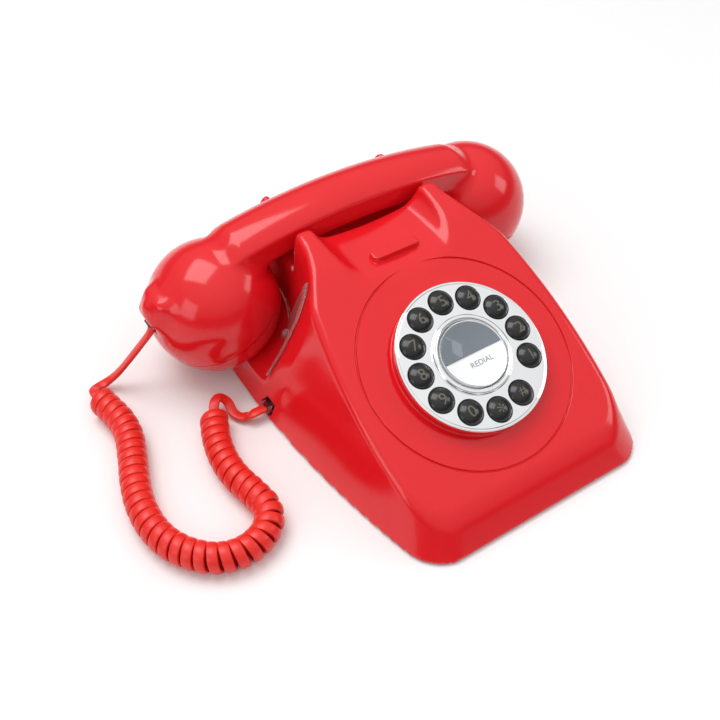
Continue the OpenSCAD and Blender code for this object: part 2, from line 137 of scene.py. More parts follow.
def grid_faces(rows, columns, wrap=False):
    """The quads of a grid of points numbered row by row; wrap joins the last column to the first."""
    across = columns if wrap else columns - 1
    i, j = np.meshgrid(np.arange(rows - 1), np.arange(across), indexing="ij")
    a, b = i * columns + j, i * columns + (j + 1) % columns
    return np.stack([a, b, b + columns, a + columns], -1).reshape(-1, 4)


# %% [markdown]
# ## The curly cord
# A telephone cord is a flat strip with four wires, wound round a rod and baked so that it springs back.
# Its two ends stay straight and go into plugs. One path runs from the handset's plug along the first end,
# round every turn of the coil and along the second end to the base. Each ring of the strip's section is
# then set on that path: its width lies along the coil's middle line, so the turns sit side by side.

# %% Cord route
FLAT_W, FLAT_T = 5.2, 2.4
COIL_D = 14.6
COIL_Z = 7.6  # the coil's middle line: its radius and a little air above the desk
TURN_PITCH = 5.45
handset_end = np.array([[-116.5, 69, 40.8], [-119.1, 69, 36.3], [-124.5, 71, 28.5], [-131, 73.5, 19.5],
                        [-137.5, 76.3, 10.8], [-143.5, 78.6, 5.2], [-148.6, 78.2, 4.6], [-151.8, 75.8, 6.2],
                        [-152.65, 72.5, COIL_Z], [-152.2, 69.5, COIL_Z]])
coil_plan = np.array([[-152.2, 69.5], [-151, 61.5], [-148.8, 48], [-149.6, 36], [-154, 22], [-159, 8],
                      [-162.2, -6], [-162.6, -19], [-160, -31], [-154, -41.5], [-145.5, -49.5],
                      [-135, -53], [-124.5, -51.5], [-116.5, -46], [-113, -37.5], [-114.2, -27],
                      [-116.5, -15], [-116.5, -2], [-113.8, 11], [-109.5, 22], [-107, 27]])
coil_line = np.column_stack([coil_plan, np.full(len(coil_plan), COIL_Z)])
base_end = np.array([[-107, 27, COIL_Z], [-104.4, 31.5, 9.4], [-100.4, 33.6, 9.4], [-97.2, 31, 6.4],
                     [-97.2, 26, 3.6], [-95.4, 21.6, 2.9], [-92.4, 19, 4], [-90, 17, 6.4],
                     [-83.2, 17, 6.4]])


def spline(points, count, fine=40):
    """A smooth line through the points: each span is a Catmull-Rom cubic, sampled evenly by length.

    The cubic is first laid out finely, then count points are read off at even steps of its length, which
    is handed back too.
    """
    p = np.vstack([2 * points[0] - points[1], points, 2 * points[-1] - points[-2]])
    t = np.linspace(0, len(points) - 1, fine * len(points))
    k = np.minimum(t.astype(int), len(points) - 2)
    u = (t - k)[:, None]
    a, b, c, d = p[k], p[k + 1], p[k + 2], p[k + 3]
    line = 0.5 * (2 * b + (c - a) * u + (2 * a - 5 * b + 4 * c - d) * u**2 + (3 * b - a - 3 * c + d) * u**3)
    gone = np.concatenate([[0], np.cumsum(np.linalg.norm(np.diff(line, axis=0), axis=1))])
    wanted = np.linspace(0, gone[-1], count)
    return np.stack([np.interp(wanted, gone, line[:, axis]) for axis in range(3)], 1), gone[-1]


def unit(v):
    """Each row of v divided by its length."""
    return v / np.linalg.norm(v, axis=-1, keepdims=True)


def ease(t):
    """Rises smoothly from 0 to 1 as t does: 3t squared less 2t cubed."""
    t = np.clip(t, 0, 1)
    return t * t * (3 - 2 * t)


# %% Cord path
RINGS_A_TURN, RINGS_AN_END = 26, 60
coil_length = spline(coil_line, 100)[1]
turns = round(coil_length / TURN_PITCH)
middle = spline(coil_line, turns * RINGS_A_TURN)[0]
turns_done = np.linspace(0, turns, len(middle))
RUN_IN = 0.8  # the part of a turn over which the strip reaches the coil's full size
wound = ease(turns_done / RUN_IN) * ease((turns - turns_done) / RUN_IN)
forward = unit(np.gradient(middle, axis=0))
across = unit(np.cross(forward, [0.0, 0.0, 1.0]))
above = np.cross(across, forward)
angle = (2 * math.pi * turns_done)[:, None]
reach = ((COIL_D - FLAT_T) / 2 * wound)[:, None]
winding = middle + reach * (np.cos(angle) * above + np.sin(angle) * across)
first = spline(handset_end, RINGS_AN_END)[0]
last = spline(base_end, RINGS_AN_END)[0]
cord_path = np.vstack([first[:-1], winding, last[1:]])
print("coil:", turns, "turns along", round(coil_length), "mm")

# %% The strip's lie
# Along the ends the strip lies flat: its width is square to the path and level. In the coil its width
# follows the middle line. Signs are matched where the three lengths meet, so the strip never flips over.
heading = unit(np.gradient(cord_path, axis=0))
flat = unit(np.cross(heading, [0.0, 0.0, 1.0]))
coil_start = len(first) - 1
coil_stop = coil_start + len(winding)
in_coil = slice(coil_start, coil_stop)
lean = wound[:, None]
keep = np.sign(np.sum(flat[in_coil] * forward, axis=1, keepdims=True) + 1e-9)
flat[in_coil] = flat[in_coil] * keep * (1 - lean) + forward * lean
flat[coil_stop:] *= np.sign(np.dot(flat[coil_stop + 1], forward[-1]))
flat[:coil_start] *= np.sign(np.dot(flat[coil_start - 2], forward[0]))
flat = unit(flat - heading * np.sum(flat * heading, axis=1, keepdims=True))
thick = np.cross(heading, flat)


# %% Cord
def strip_section(count=14, power=3.2):
    """A strip's outline: a superellipse, |2x/w| to the power plus |2y/t| to the power is one."""
    a = np.linspace(0, 2 * math.pi, count, endpoint=False) + math.pi / count
    size = (np.abs(np.cos(a)) ** power + np.abs(np.sin(a)) ** power) ** (-1 / power)
    return FLAT_W / 2 * np.cos(a) * size, FLAT_T / 2 * np.sin(a) * size


px, py = strip_section()
rings = cord_path[:, None] + px[:, None] * flat[:, None] + py[:, None] * thick[:, None]
sides, total = len(px), len(cord_path)
caps = np.array([np.arange(sides), np.arange(total * sides)[::-1][:sides]])
cord = put_mesh("curly_cord", rings.reshape(-1, 3), grid_faces(total, sides, wrap=True)[:, ::-1], caps)

# %% [markdown]
# ## Soft moulded shapes
# A moulded shell has no sharp corners: each plane runs into the next through a round. A distance field
# makes such shapes simple. It is a formula that is below zero inside the material and above zero outside
# it, and two fields join or cut each other with a round of any radius. The surface is then found on a grid:
# each cell that it crosses gets one point, and each grid line that it crosses gets one quad. The points are
# last moved straight onto the true surface, so the grid doesn't show in the gloss.

# %% Rounded joins and cuts
def both(a, b, r):
    """What lies in both fields, its edge rounded: min(-r, max(a, b)) + |(a + r, b + r)| where above 0."""
    return np.minimum(-r, np.maximum(a, b)) + np.hypot(np.maximum(a + r, 0), np.maximum(b + r, 0))


def either(a, b, r):
    """What lies in a or b, its hollow corner rounded with radius r."""
    return -both(-a, -b, r)


def without(a, b, r):
    """What lies in a but not in b, its new edge rounded with radius r."""
    return both(a, -b, r)


# %% From a field to a surface
def net(field, low, high, step):
    """The surface where field(x, y, z) is 0, as points and quads, on a grid of the given step in mm."""
    low, high = np.array(low, float), np.array(high, float)
    count = np.ceil((high - low) / step).astype(int) + 1
    lines = [low[k] + step * np.arange(count[k]) for k in range(3)]
    value = field(*np.meshgrid(*lines, indexing="ij", sparse=True))
    inside = value < 0
    cells = tuple(count - 1)
    place = np.zeros((np.prod(cells), 3))
    hits = np.zeros(np.prod(cells))
    quads = []
    for k in range(3):
        a = tuple(slice(None, -1) if m == k else slice(None) for m in range(3))
        b = tuple(slice(1, None) if m == k else slice(None) for m in range(3))
        crossed = inside[a] != inside[b]
        start = np.argwhere(crossed)
        spot = start.astype(float)
        spot[:, k] += value[a][crossed] / (value[a][crossed] - value[b][crossed])
        ring = []
        for d1, d2 in ((0, 0), (-1, 0), (-1, -1), (0, -1)):
            cell = start.copy()
            cell[:, (k + 1) % 3] += d1
            cell[:, (k + 2) % 3] += d2
            ring.append(np.ravel_multi_index(cell.T, cells))
            hits += np.bincount(ring[-1], minlength=len(hits))
            for m in range(3):
                place[:, m] += np.bincount(ring[-1], spot[:, m], len(hits))
        ring = np.stack(ring, 1)
        quads.append(np.where(inside[a][crossed][:, None], ring, ring[:, ::-1]))
    used = hits > 0
    number = np.cumsum(used) - 1
    points = low + step * place[used] / hits[used][:, None]
    return settle(field, points, step), number[np.concatenate(quads)]


PROBE = 0.02  # how far to either side the slope of a field is felt, in mm
LEAST_SLOPE, LONGEST_MOVE = 0.05, 0.4  # keep a move sane where a field is almost level


def settle(field, points, step, rounds=4):
    """Moves points onto the surface along the field's slope.

    The move is the field's value times its slope, over the slope squared.
    """
    for _ in range(rounds):
        value = field(*points.T)
        rises = [field(*(points + e).T) - field(*(points - e).T) for e in np.eye(3) * PROBE]
        slope = np.stack(rises, 1) / (2 * PROBE)
        move = slope * (value / np.maximum((slope**2).sum(1), LEAST_SLOPE))[:, None]
        size = np.linalg.norm(move, axis=1, keepdims=True)
        points = points - move * np.minimum(1, LONGEST_MOVE * step / np.maximum(size, 1e-9))
    return points


def carve(piece, *cutters):
    """Cuts closed meshes out of a piece, one after another, and removes them."""
    for cutter in cutters:
        cut = piece.modifiers.new("cut", "BOOLEAN")
        cut.operation, cut.solver, cut.object = "DIFFERENCE", "MANIFOLD", cutter
        made = bpy.data.meshes.new_from_object(piece.evaluated_get(bpy.context.evaluated_depsgraph_get()))
        piece.modifiers.clear()
        old, piece.data = piece.data, made
        made.name = old.name + "_cut"
        bpy.data.meshes.remove(old)
        bpy.data.meshes.remove(cutter.data)


# %% [markdown]
# ## The case
# The case is one red moulding: a wedge with leaning sides, a tilted face for the dial, a low front and a
# cradle at the rear. Its middle block stands between two round scoops for the handset's cups, with a
# shelf under each. A trough crosses the block under the handle, and a dished hollow in front of it takes
# the fingers that lift the telephone. What is left of the block's corners are the four prongs.

# %% Places from the frame
case_low, case_high = box_mm("case_shell")
plate_low, plate_high = box_mm("dial_plate")
press = next(j for j in frame["joints"] if j["name"] == "redial_press")
DIAL_N = -np.array(press["axis"], float)
DIAL_N /= np.linalg.norm(DIAL_N)
DIAL_X = np.array([1.0, 0.0, 0.0])
DIAL_Y = np.cross(DIAL_N, DIAL_X)
TILT = math.atan2(-DIAL_N[1], DIAL_N[2])
PLATE_R = (plate_high[0] - plate_low[0]) / 2
BOSS_H, PLATE_T = 5.2, 2.5
board_low, board_high = box_mm("keypad_board")
BOARD_T = 1.6
DIAL = (board_low + board_high) / 2 + DIAL_N * BOARD_T / 2
FRONT, REAR, CASE_Z = case_low[1], case_high[1], case_low[2]
LIP_Y, LIP_Z = FRONT + 8.6, CASE_Z + 16
print("dial centre", np.round(DIAL, 2), "tilt", round(math.degrees(TILT), 2))
print("plate radius", round(PLATE_R, 2))


# %% The case's field
LOW_HALF, SIDE_BOW, SIDE_Y = 66.0, 17.2, 30.0
FRONT_FOOT, FRONT_LEAN = 2.0, 10.6 / 16
REAR_LEAN, REAR_SQUARE = 0.12, 0.993  # the second turns a level distance into one square to the rear
SIDE_SQUARE = 0.92  # and this does so for the leaning sides
FRONT_ROUND, REAR_ROUND, CROWN_ROUND, RIM_ROUND = 14.0, 16.0, 12.0, 3.4
FACE_HALF, FACE_TAPER, FACE_MID_Y, ELBOW_Y = 66.5, 7.0, FRONT + 55, FRONT + 116
SHOULDER = 2.4
HORN_Y, PRONG_Y, PRONG_H = FRONT + 146, REAR - 16, 76.0
BLOCK_HALF = 44.0
SCOOP_R, SCOOP_Y, SCOOP_Z = 52.0, FRONT + 158, 75.0
CUP_X, CUP_Y, CUP_Z, CUP_R, CUP_TILT = 82.0, 69.0, 38.0, 35.0, math.radians(26)
CUP_FACE, SHELF_GAP = 20.0, 2.5
SHELF_ROUND, SCOOP_EDGE = 2.0, 3.2
TROUGH_Y, TROUGH_HALF, TROUGH_H, TROUGH_ROUND = CUP_Y + 1, 18.0, 57.0, 4.0
HOLLOW_HALF, HOLLOW_H, HOLLOW_DISH_R = 34.0, 68.5, 170.0
HOLLOW_ROUND, HOLLOW_END, HOLLOW_EDGE = 12.0, 1.0, 2.6
GAP_H, GAP_ROUND, GAP_EDGE = TROUGH_H + 7, 6.0, 3.5
WALL = 2.5


def face_height(y):
    """The height of the dial face's plane, which rises to the rear by the tangent of its tilt."""
    return LIP_Z + (y - LIP_Y) * math.tan(TILT)


def prong_rise(y):
    """How far the slope from the face's top edge to the prongs has risen at y."""
    return (PRONG_H - face_height(HORN_Y)) * (y - HORN_Y) / (PRONG_Y - HORN_Y)


def wedge(x, y, z):
    """The case with nothing cut away, under the dial's face.

    Its sides lean from a lower outline, bowed as 1 less a square, to an upper one, which draws in.
    """
    low_half = LOW_HALF + SIDE_BOW * (1 - ((y - SIDE_Y) / (REAR + SIDE_Y)) ** 2)
    face_half = FACE_HALF - SHOULDER - FACE_TAPER * ((y - FACE_MID_Y) / (ELBOW_Y - FACE_MID_Y)) ** 2
    elbow_half = FACE_HALF - SHOULDER - FACE_TAPER
    inward = np.clip((y - ELBOW_Y) / (HORN_Y - ELBOW_Y), 0, 1)
    high_half = np.where(y < ELBOW_Y, face_half, elbow_half + (BLOCK_HALF - SHOULDER - elbow_half) * inward)
    top = np.maximum(face_height(y), LIP_Z * 0.8)
    top = np.minimum(top, face_height(HORN_Y) + prong_rise(y))
    rise = np.clip((z - CASE_Z) / (top - CASE_Z), -0.2, 1.3)
    side = (np.abs(x) - low_half - (high_half - low_half) * rise) * SIDE_SQUARE
    front = (FRONT - FRONT_FOOT + (z - CASE_Z) * FRONT_LEAN - y) / math.hypot(1, FRONT_LEAN)
    rear = (y - REAR + (z - CASE_Z) * REAR_LEAN) * REAR_SQUARE
    plan = both(both(side, front, FRONT_ROUND), rear, REAR_ROUND)
    face = (z - face_height(y)) * math.cos(TILT)
    crown = z - face_height(HORN_Y) - prong_rise(y)
    return both(plan, both(face, crown, CROWN_ROUND), RIM_ROUND)


# %% [markdown]
# The cradle is cut out of the wedge: a scoop and its sloping shelf on each side, the trough under the
# handle, and the hollow and the gap in front of and behind it. The same function serves the case's inside,
# where every cut is made wider by the wall, so the wall stays even.

# %% The cradle's cuts
def cradle(body, x, y, z, grow=0.0):
    """Cuts the scoops, the trough and the hollow out of a body; grow widens each cut by a wall."""
    ax = np.abs(x)
    u = ax - BLOCK_HALF - SCOOP_R
    v = (y - SCOOP_Y) * math.cos(TILT) + (z - SCOOP_Z) * math.sin(TILT)
    bowl = np.hypot(u, np.minimum(v, 0)) - SCOOP_R
    shelf = (ax - CUP_X) * math.sin(CUP_TILT) + (z - CUP_Z) * math.cos(CUP_TILT) + CUP_FACE + SHELF_GAP
    body = without(body, both(bowl - grow, -shelf - grow, SHELF_ROUND), SCOOP_EDGE)
    trough = both(np.abs(y - TROUGH_Y) - TROUGH_HALF - grow, TROUGH_H - z - grow, TROUGH_ROUND)
    body = without(body, trough, TROUGH_ROUND)
    dish = HOLLOW_H + x**2 / (2 * HOLLOW_DISH_R)
    hollow = both(ax - HOLLOW_HALF - grow, dish - z - grow, HOLLOW_ROUND)
    body = without(body, both(hollow, y - TROUGH_Y, HOLLOW_END), HOLLOW_EDGE)
    gap = both(ax - HOLLOW_HALF - grow, GAP_H - z - grow, GAP_ROUND)
    return without(body, both(gap, TROUGH_Y - y, HOLLOW_END), GAP_EDGE)


# %% The case's outside
BAR_HALF = np.array([13.5, 3.25])
BAR_Y, BAR_TOP, BAR_FOOT = FRONT + 130.25, 72.0, HOLLOW_H - 3
BAR_CORNER, BAR_EDGE, BAR_ROOT = 1.2, 1.0, 0.8
BOSS_R, WELL_R, OPENING_R = PLATE_R - 0.8, 36.6, 35.6


def case_field(x, y, z):
    """The case's outside: the wedge less its cuts, with the bar in the hollow."""
    body = cradle(wedge(x, y, z), x, y, z)
    bar = both(np.abs(x) - BAR_HALF[0], np.abs(y - BAR_Y) - BAR_HALF[1], BAR_CORNER)
    bar = both(bar, z - BAR_TOP, BAR_EDGE)
    body = either(body, np.maximum(bar, BAR_FOOT - z), BAR_ROOT)
    return np.maximum(body, CASE_Z - z)


# %% Case
CASE_STEP = 1.25
case = put_mesh("case", *net(case_field, case_low - 3, case_high + 3, CASE_STEP))
print("case:", len(case.data.polygons), "quads")

# %% [markdown]
# The case is hollow. Its inside is a second field, the same shape drawn in by the wall and open below, with
# the four screw posts left standing. It is never seen closely, so its grid is coarse. The groove round the
# dial, the dial's opening and the ways in for the plug, the line and the ringer's slider have crisp edges,
# so each is a closed mesh of its own that is cut out of the case.

# %% Case's inside
POSTS = [(s * 56.0, y) for s in (-1, 1) for y in (FRONT + 24, REAR - 22)]
POST_R, POST_Z = 4.5, CASE_Z + 2.4
OPEN_BELOW = -3  # the hollow runs on to here, well below the case's foot


def case_inside(x, y, z):
    """The case's hollow: every outer surface moved in by the wall, less the screw posts."""
    body = np.maximum(cradle(wedge(x, y, z) + WALL, x, y, z, WALL), OPEN_BELOW - z)
    for post_x, post_y in POSTS:
        body = np.maximum(body, -np.maximum(np.hypot(x - post_x, y - post_y) - POST_R, POST_Z - z))
    return body


# %% [markdown]
# Some shapes need crisp edges: boxes, and rings and discs that a lathe would turn. Those are made straight
# from their corners or from a profile, and they serve as pieces or as cutters.

# %% Boxes and turned shapes
def block(name, low, high, turn=None, centre=(0, 0, 0)):
    """A closed box from its low to its high corner in mm, turned by a 3 by 3 matrix and set at a centre."""
    corner = np.array([[x, y, z] for x in (0, 1) for y in (0, 1) for z in (0, 1)], float)
    points = np.array(low, float) + corner * (np.array(high, float) - np.array(low, float))
    points = points @ (np.eye(3) if turn is None else np.array(turn).T) + np.array(centre, float)
    faces = [[0, 1, 3, 2], [4, 6, 7, 5], [0, 4, 5, 1], [2, 3, 7, 6], [0, 2, 6, 4], [1, 5, 7, 3]]
    return put_mesh(name, points, faces)


def carried_round(profile, count, centre, ex, ey, ez):
    """The profile's points (r, h) carried round the axis ez: centre + r (cos a ex + sin a ey) + h ez."""
    a = np.linspace(0, 2 * math.pi, count, endpoint=False)
    r, h = np.array(profile, float).T
    ring = np.cos(a)[:, None] * ex + np.sin(a)[:, None] * ey
    return (np.array(centre) + r[:, None, None] * ring + h[:, None, None] * ez).reshape(-1, 3)


def turned(name, profile, count, *place, crease=30.0):
    """A closed ring: the profile is a loop, so its last row of points is joined to its first."""
    faces = grid_faces(len(profile) + 1, count, wrap=True) % (len(profile) * count)
    return put_mesh(name, carried_round(profile, count, *place), faces, crease=crease)


def solid_turned(name, profile, count, centre, ex, ey, ez, crease=30.0):
    """A closed solid: an open profile from the axis below to the axis above, with a fan at each end."""
    foot, tip = (np.array(centre) + profile[end][1] * ez for end in (0, -1))
    rows = len(profile) - 2
    points = np.vstack([carried_round(profile[1:-1], count, centre, ex, ey, ez), foot, tip])
    k, n = np.arange(count), rows * count
    bottom = np.stack([np.full(count, n), (k + 1) % count, k], 1)
    top = np.stack([np.full(count, n + 1), n - count + k, n - count + (k + 1) % count], 1)
    return put_mesh(name, points, grid_faces(rows, count, wrap=True), bottom, top, crease=crease)


def arc(cx, cy, r, start, end, count):
    """Points on an arc about (cx, cy), its angles in degrees."""
    a = np.radians(np.linspace(start, end, count))
    return list(zip(cx + r * np.cos(a), cy + r * np.sin(a)))


# %% Case's openings
GROOVE_R, GROOVE_HALF, GROOVE_DEEP = 55.6, 0.5, 0.8
GROOVE_FLARE, GROOVE_RIM, ABOVE_FACE = 0.35, 0.15, 1.5
DIAL_AXES = (DIAL_X, DIAL_Y, DIAL_N)
groove_out, groove_in = GROOVE_R + GROOVE_HALF, GROOVE_R - GROOVE_HALF
groove_profile = [(groove_out + GROOVE_FLARE, ABOVE_FACE), (groove_in - GROOVE_FLARE, ABOVE_FACE),
                  (groove_in - GROOVE_FLARE, GROOVE_RIM), (groove_in, -GROOVE_RIM)]
groove_profile += arc(GROOVE_R, 0.3 - GROOVE_DEEP, GROOVE_HALF, 180, 360, 7)
groove_profile += [(groove_out, -GROOVE_RIM), (groove_out + GROOVE_FLARE, GROOVE_RIM)]
groove = turned("groove", groove_profile, 360, DIAL, *DIAL_AXES)
WELL_DEEP, WELL_TOP = 12, 9
well_profile = [(0, -WELL_DEEP), (OPENING_R, -WELL_DEEP), (OPENING_R, 0), (WELL_R, 0), (WELL_R, WELL_TOP),
                (0, WELL_TOP)]
well = solid_turned("well", well_profile, 160, DIAL, *DIAL_AXES)
jack_low, jack_high = box_mm("handset_jack")
plug_low, plug_high = box_mm("base_plug")
jack_y = (jack_low[1] + jack_high[1]) / 2
JACK_HALF, JACK_GAP, JACK_WAY_END = 4.2, 0.4, -74
BACK_IN, BACK_OUT = REAR - 10, REAR + 8
jack_way = block("jack_way", (case_low[0] - 5, jack_y - JACK_HALF, plug_low[2] - JACK_GAP),
                 (JACK_WAY_END, jack_y + JACK_HALF, plug_high[2] + JACK_GAP))
LINE_HALF, LINE_LOW, LINE_HIGH = 8, CASE_Z + 3, CASE_Z + 17
line_way = block("line_way", (-LINE_HALF, BACK_IN, LINE_LOW), (LINE_HALF, BACK_OUT, LINE_HIGH))
SLIDER_X, SLIDER_LOW, SLIDER_HIGH = (26, 42), CASE_Z + 6, CASE_Z + 11
slider_way = block("slider_way", (SLIDER_X[0], BACK_IN, SLIDER_LOW), (SLIDER_X[1], BACK_OUT, SLIDER_HIGH))
INSIDE_STEP = 2.6
hollow = put_mesh("hollow", *net(case_inside, case_low - 8, case_high + 3, INSIDE_STEP))
CARVED_CREASE = 32
carve(case, hollow, well, groove, jack_way, line_way, slider_way)
smooth(case.data, CARVED_CREASE)
print("case carved:", len(case.data.polygons), "faces")

# %% [markdown]
# The boss that carries the dial is a turned ring, as it would be on a lathe: a small hollow round at its
# foot and a fine one at its top edge. It becomes part of the case when the pieces are fitted.

# %% Boss
BOSS_FOOT, BOSS_EDGE, BOSS_SUNK = 0.8, 0.3, -1.0
boss_profile = [(WELL_R, BOSS_SUNK), (BOSS_R + BOSS_FOOT, BOSS_SUNK), (BOSS_R + BOSS_FOOT, 0.03)]
boss_profile += arc(BOSS_R + BOSS_FOOT, 0.83, BOSS_FOOT, 260, 180, 6)
boss_profile += arc(BOSS_R - BOSS_EDGE, BOSS_H - BOSS_EDGE, BOSS_EDGE, 0, 90, 4)
boss = turned("boss", boss_profile + [(WELL_R, BOSS_H)], 240, DIAL, *DIAL_AXES)
print("boss:", len(boss.data.polygons), "faces")

# %% [markdown]
# ## The handset
# The handset is one long red shell with a cap screwed onto each end. Its handle is an arch with a rounded
# crown, flat sides and a soft crease between them. Each end swells into a ball, cut flat where the sound
# goes in or out. The left ball also has a spout, whose underside holds the cord's socket.

# %% The handset's field
hand_low, hand_high = box_mm("handset_shell")
HANDLE_TOP, HANDLE_H, HANDLE_HALF = 86.0, 18.5, 15.0
ARCH_R, SWEEP = 340.0, math.radians(13)
ARCH_Z = HANDLE_TOP - ARCH_R
CROWN_H, CROWN_SEAM, UNDER_ROUND = 6.0, 0.7, 3.0
CROWN_R = (HANDLE_HALF**2 + CROWN_H**2) / (2 * CROWN_H)
SEAM = -3.0
END_R, JOIN_R, FACE_ROUND = 9.0, 7.0, 5.0
SPOUT = np.array([-CUP_X - 31.5, CUP_Y, CUP_Z + 8])
SPOUT_TURN = math.radians(30)
SPOUT_X = np.array([math.cos(SPOUT_TURN), 0, -math.sin(SPOUT_TURN)])
SPOUT_N = np.array([math.sin(SPOUT_TURN), 0, math.cos(SPOUT_TURN)])
SPOUT_TIP = np.array([-CUP_X - 35.2, CUP_Y, CUP_Z + 15.5])
SPOUT_ROOT = np.array([-CUP_X - 20, CUP_Y, CUP_Z + 11])
CONE_R, CONE_TAPER = 11, 9
MOUTH_HALF, MOUTH_HIGH, MOUTH_LOW = (6.6, 7.6), 10, -1
MOUTH_CORNER, MOUTH_EDGE, MOUTH_RIM = 3.0, 2.0, 1.5
SPOUT_ROUND, SPOUT_JOIN = 5.0, 9.0


def handle(x, y, z):
    """An arch about the line y through ARCH_Z: a round crown, flat sides, and round ends."""
    reach = np.hypot(x, z - ARCH_Z)
    p, q = reach - ARCH_R, np.abs(y - TROUGH_Y)
    crown = np.hypot(q, np.maximum(p + CROWN_R, 0)) - CROWN_R
    section = both(both(crown, q - HANDLE_HALF, CROWN_SEAM), -HANDLE_H - p, UNDER_ROUND)
    ends = (np.arctan2(np.abs(x), z - ARCH_Z) - SWEEP) * ARCH_R
    return both(section, ends, END_R)


def cup_heights(x, z):
    """Heights above each cup's centre along its own axis, which leans inward by the cup's tilt."""
    return (np.abs(x) - CUP_X) * math.sin(CUP_TILT) + (z - CUP_Z) * math.cos(CUP_TILT)


def cups(x, y, z):
    """Two balls, one at each end, cut flat at their faces."""
    ball = np.sqrt((np.abs(x) - CUP_X) ** 2 + (y - CUP_Y) ** 2 + (z - CUP_Z) ** 2) - CUP_R
    return both(ball, -cup_heights(x, z) - CUP_FACE, FACE_ROUND)


def spout_place(x, y, z):
    """Places in the spout's own axes, with its mouth facing down along the last one."""
    dx, dz = x - SPOUT[0], z - SPOUT[2]
    return dx * SPOUT_X[0] + dz * SPOUT_X[2], y - SPOUT[1], dx * SPOUT_N[0] + dz * SPOUT_N[2]


# %% Handle, balls and spout together
def grip(x, y, z):
    """Handle and balls, joined with rounds."""
    return either(handle(x, y, z), cups(x, y, z), JOIN_R)


def spout(x, y, z):
    """A cone whose radius falls with the share gone from root to tip, and a block for the mouth."""
    to_tip = SPOUT_TIP - SPOUT_ROOT
    dx, dz = x - SPOUT_ROOT[0], z - SPOUT_ROOT[2]
    share = np.clip((dx * to_tip[0] + dz * to_tip[2]) / (to_tip**2).sum(), 0, 1)
    off_axis = np.sqrt((dx - share * to_tip[0]) ** 2 + (y - CUP_Y) ** 2 + (dz - share * to_tip[2]) ** 2)
    cone = off_axis - (CONE_R - CONE_TAPER * share)
    lx, ly, lz = spout_place(x, y, z)
    mouth = both(both(np.abs(lx) - MOUTH_HALF[0], np.abs(ly) - MOUTH_HALF[1], MOUTH_CORNER),
                 both(MOUTH_LOW - lz, lz - MOUTH_HIGH, MOUTH_EDGE), MOUTH_RIM)
    return either(cone, mouth, SPOUT_ROUND)


def handset_field(x, y, z):
    """The handset's outside: handle and balls, with the spout on the left ball."""
    return either(grip(x, y, z), spout(x, y, z), SPOUT_JOIN)


# %% Handset
HAND_STEP, HAND_INSIDE_STEP = 1.0, 2.2
hand_room = (hand_low - [3, 3, 22], hand_high + 3)  # the balls reach lower than the shell, down to the caps
handset = put_mesh("handset", *net(handset_field, *hand_room, HAND_STEP))


def cup_axes(side):
    """A cup's centre and its axes; the last one points away from the cup's face."""
    lean = side * CUP_TILT
    ex = np.array([math.cos(lean), 0, -math.sin(lean)])
    ez = np.array([math.sin(lean), 0, math.cos(lean)])
    return np.array([side * CUP_X, CUP_Y, CUP_Z]), np.stack([ex, [0, 1, 0], ez], 1)


def handset_inside(x, y, z):
    """The handset's hollow: handle and balls moved in by the wall, down to a little below the seam."""
    return np.maximum(grip(x, y, z) + WALL, -cup_heights(x, z) + SEAM - 2)


hand_hollow = put_mesh("hand_hollow", *net(handset_inside, *hand_room, HAND_INSIDE_STEP))
below = []
for side in (-1, 1):
    centre, axes = cup_axes(side)
    below.append(block("below", (-45, -45, -60), (45, 45, SEAM), axes, centre))
socket_axes = np.stack([SPOUT_X, [0, 1, 0], SPOUT_N], 1)
socket = block("socket", (-5.5, -6, -8), (5.5, 6, 9.5), socket_axes, SPOUT)
carve(handset, *below, hand_hollow, socket)
smooth(handset.data, CARVED_CREASE)
print("handset:", len(handset.data.polygons), "faces")

# %% [markdown]
# The caps screw on below a fine seam. Each is the rest of its ball, hollow, with holes for the sound in
# rings about its middle.

# %% Caps
CAP_GAP, CAP_STEP, CAP_INSIDE_STEP = 0.5, 1.1, 2.2
SOUND_R, SOUND_SPACING, SOUND_LOW, SOUND_HIGH = 1.1, 5, -CUP_FACE - 3, -14
sound_profile = [(0, SOUND_LOW), (SOUND_R, SOUND_LOW), (SOUND_R, SOUND_HIGH), (0, SOUND_HIGH)]


def sound_holes(rows, centre, axes):
    """Closed pins for the sound holes: row k is a ring of 6k holes at k spacings from the middle."""
    pins = []
    for row in range(1, rows + 1):
        for a in np.arange(0, 2 * math.pi, math.pi / 3 / row):
            off = np.array([SOUND_SPACING * row * math.cos(a), SOUND_SPACING * row * math.sin(a), 0])
            pins.append(solid_turned("hole", sound_profile, 16, centre + axes @ off, *axes.T))
    return pins


caps_made = {}
for name, side, rows in (("mouth_cap", -1, 2), ("ear_cap", 1, 3)):
    centre, axes = cup_axes(side)
    near_cup = (centre - CUP_R - 3, centre + CUP_R + 3)
    cap = put_mesh(name + "_shell", *net(cups, *near_cup, CAP_STEP))
    inner = put_mesh("cap_hollow", *net(lambda x, y, z: cups(x, y, z) + WALL, *near_cup, CAP_INSIDE_STEP))
    above = block("above", (-60, -60, SEAM - CAP_GAP), (60, 60, 60), axes, centre)
    carve(cap, inner, above, *sound_holes(rows, centre, axes))
    smooth(cap.data, CARVED_CREASE)
    caps_made[name] = cap
    print(name, len(cap.data.polygons), "faces")

# %% [markdown]
# ## The dial
# A chrome plate with a fine bevelled rim stands on the boss. Twelve domed buttons come up through it, and in
# its middle a bright ring holds the redial button, half grey and half white under a clear lens. All of them
# are turned shapes, so each is a short profile carried round the dial's axis.

